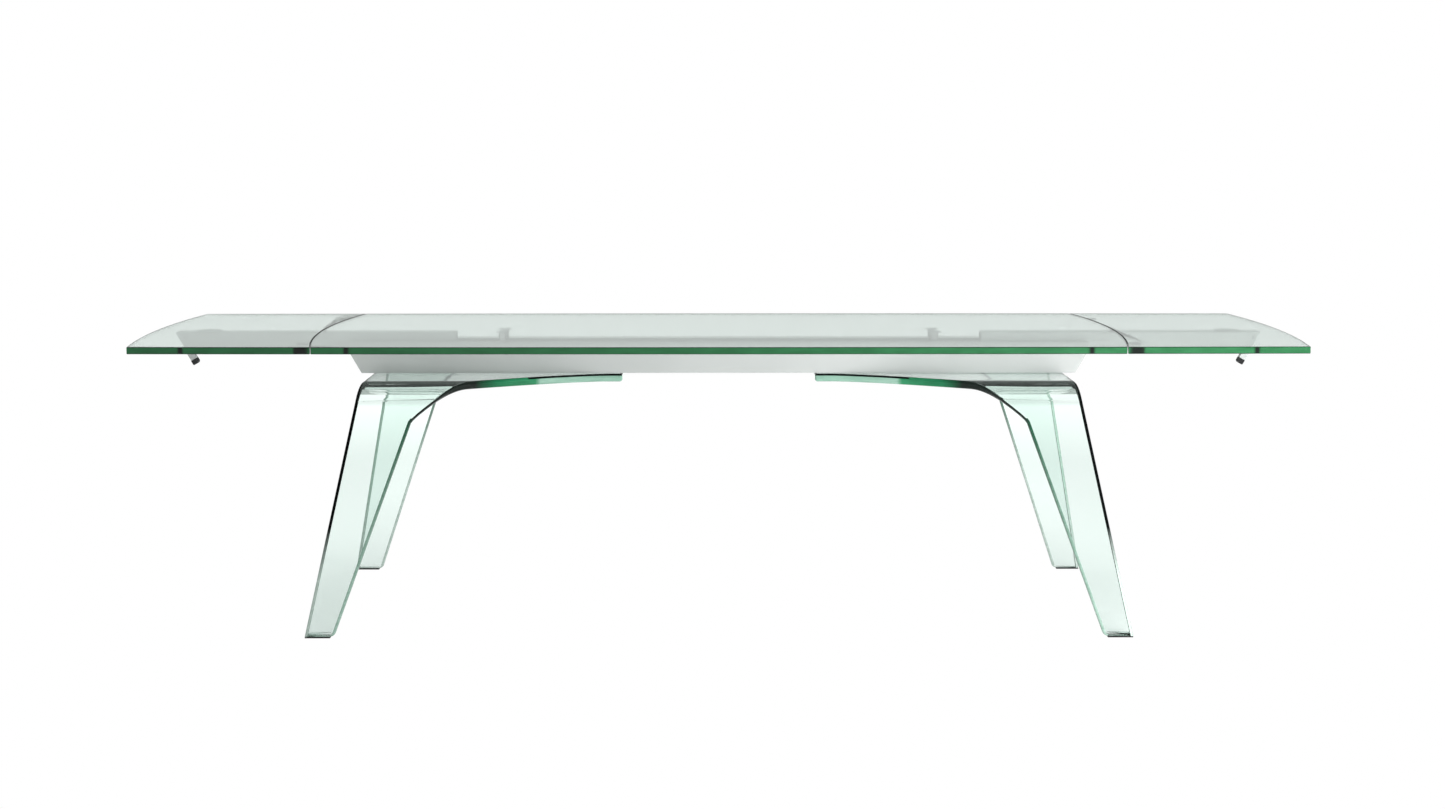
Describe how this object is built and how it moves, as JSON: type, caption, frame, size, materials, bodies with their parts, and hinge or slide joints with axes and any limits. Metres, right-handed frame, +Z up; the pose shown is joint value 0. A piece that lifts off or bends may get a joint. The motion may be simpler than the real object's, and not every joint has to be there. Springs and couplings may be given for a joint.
{
  "type": "extendable dining table",
  "caption": "Glass dining table on bent-glass bases; end leaves lie level with the main top and sink by a lever before sliding in.",
  "frame": {"origin": "on the floor, midway between the four feet", "axes": "+X along the table's length, +Y across it towards the rear, +Z up"},
  "size_m": [3.01, 1, 0.743],
  "materials": {
    "top_glass": "clear float glass with polished green edges",
    "base_glass": "clear bent glass with polished edges",
    "satin_housing": "satin light grey",
    "satin_beam": "satin",
    "bright_steel": "fine turned and brushed",
    "dark_steel": "dark grey satin",
    "foot_rubber": "matt black",
    "grip_rubber": "matt black",
    "black_plastic": "matt",
    "roller_plastic": "smooth off-white"
  },
  "bodies": {
    "base": {"centre_stop": "foot_rubber", "front_rail": "bright_steel", "housing_front_lid": "satin_housing", "housing_left_end": "satin_housing", "housing_rear_lid": "satin_housing", "housing_right_end": "satin_housing", "housing_tray": "satin_housing", "left_axle_1": "bright_steel", "left_axle_2": "bright_steel", "left_base_glass": "base_glass", "left_carriage": "dark_steel", "left_cross_frame": "dark_steel", "left_front_bonding_disc": "bright_steel", "left_front_foot_pad": "foot_rubber", "left_front_pillar": "bright_steel", "left_mounting_plate": "satin_housing", "left_rear_bonding_disc": "bright_steel", "left_rear_foot_pad": "foot_rubber", "left_rear_pillar": "bright_steel", "main_top_glass": "top_glass", "rear_rail": "bright_steel", "right_axle_1": "bright_steel", "right_axle_2": "bright_steel", "right_base_glass": "base_glass", "right_carriage": "dark_steel", "right_cross_frame": "dark_steel", "right_front_bonding_disc": "bright_steel", "right_front_foot_pad": "foot_rubber", "right_front_pillar": "bright_steel", "right_mounting_plate": "satin_housing", "right_rear_bonding_disc": "bright_steel", "right_rear_foot_pad": "foot_rubber", "right_rear_pillar": "bright_steel"},
    "left_leaf": {"left_leaf_glass": "top_glass", "left_leaf_disc": "bright_steel", "left_lift_beam": "satin_beam", "left_front_locating_tab": "black_plastic", "left_rear_locating_tab": "black_plastic", "left_lever_pin": "bright_steel"},
    "left_lever": {"left_lever": "satin_beam", "left_lever_grip": "grip_rubber"},
    "left_push_rod": {"left_push_rod": "dark_steel"},
    "left_front_roller_1": {"left_front_roller_1": "roller_plastic"},
    "left_rear_roller_1": {"left_rear_roller_1": "roller_plastic"},
    "left_front_roller_2": {"left_front_roller_2": "roller_plastic"},
    "left_rear_roller_2": {"left_rear_roller_2": "roller_plastic"},
    "right_leaf": {"right_leaf_glass": "top_glass", "right_leaf_disc": "bright_steel", "right_lift_beam": "satin_beam", "right_front_locating_tab": "black_plastic", "right_rear_locating_tab": "black_plastic", "right_lever_pin": "bright_steel"},
    "right_lever": {"right_lever": "satin_beam", "right_lever_grip": "grip_rubber"},
    "right_push_rod": {"right_push_rod": "dark_steel"},
    "right_front_roller_1": {"right_front_roller_1": "roller_plastic"},
    "right_rear_roller_1": {"right_rear_roller_1": "roller_plastic"},
    "right_front_roller_2": {"right_front_roller_2": "roller_plastic"},
    "right_rear_roller_2": {"right_rear_roller_2": "roller_plastic"}
  },
  "joints": [
    {"name": "left_leaf_drop", "type": "slide", "parent": "base", "child": "left_leaf", "axis": [0, 0, -1], "range_m": [0, 0.02]},
    {"name": "left_lever_swing", "type": "hinge", "parent": "left_leaf", "child": "left_lever", "pos_m": [-1.43453, 0, 0.706], "axis": [0, 1, 0], "range_deg": [0, 41.3]},
    {"name": "left_rod_pull", "type": "slide", "parent": "left_leaf", "child": "left_push_rod", "axis": [-1, 0, 0], "range_m": [0, 0.014]},
    {"name": "left_front_roller_1_turn", "type": "hinge", "parent": "base", "child": "left_front_roller_1", "pos_m": [-0.752, -0.052, 0.652], "axis": [0, 1, 0], "continuous": true},
    {"name": "left_rear_roller_1_turn", "type": "hinge", "parent": "base", "child": "left_rear_roller_1", "pos_m": [-0.752, 0.052, 0.652], "axis": [0, 1, 0], "continuous": true},
    {"name": "left_front_roller_2_turn", "type": "hinge", "parent": "base", "child": "left_front_roller_2", "pos_m": [-0.912, -0.052, 0.652], "axis": [0, 1, 0], "continuous": true},
    {"name": "left_rear_roller_2_turn", "type": "hinge", "parent": "base", "child": "left_rear_roller_2", "pos_m": [-0.912, 0.052, 0.652], "axis": [0, 1, 0], "continuous": true},
    {"name": "right_leaf_drop", "type": "slide", "parent": "base", "child": "right_leaf", "axis": [0, 0, -1], "range_m": [0, 0.02]},
    {"name": "right_lever_swing", "type": "hinge", "parent": "right_leaf", "child": "right_lever", "pos_m": [1.43453, 0, 0.706], "axis": [0, -1, 0], "range_deg": [0, 41.3]},
    {"name": "right_rod_pull", "type": "slide", "parent": "right_leaf", "child": "right_push_rod", "axis": [1, 0, 0], "range_m": [0, 0.014]},
    {"name": "right_front_roller_1_turn", "type": "hinge", "parent": "base", "child": "right_front_roller_1", "pos_m": [0.752, -0.052, 0.652], "axis": [0, 1, 0], "continuous": true},
    {"name": "right_rear_roller_1_turn", "type": "hinge", "parent": "base", "child": "right_rear_roller_1", "pos_m": [0.752, 0.052, 0.652], "axis": [0, 1, 0], "continuous": true},
    {"name": "right_front_roller_2_turn", "type": "hinge", "parent": "base", "child": "right_front_roller_2", "pos_m": [0.912, -0.052, 0.652], "axis": [0, 1, 0], "continuous": true},
    {"name": "right_rear_roller_2_turn", "type": "hinge", "parent": "base", "child": "right_rear_roller_2", "pos_m": [0.912, 0.052, 0.652], "axis": [0, 1, 0], "continuous": true}
  ],
  "couplings": [
    {"joint": "left_lever_swing", "follows": "left_leaf_drop", "rad_per_m": 36.04},
    {"joint": "left_rod_pull", "follows": "left_leaf_drop", "ratio": 0.7},
    {"joint": "right_lever_swing", "follows": "right_leaf_drop", "rad_per_m": 36.04},
    {"joint": "right_rod_pull", "follows": "right_leaf_drop", "ratio": 0.7}
  ]
}
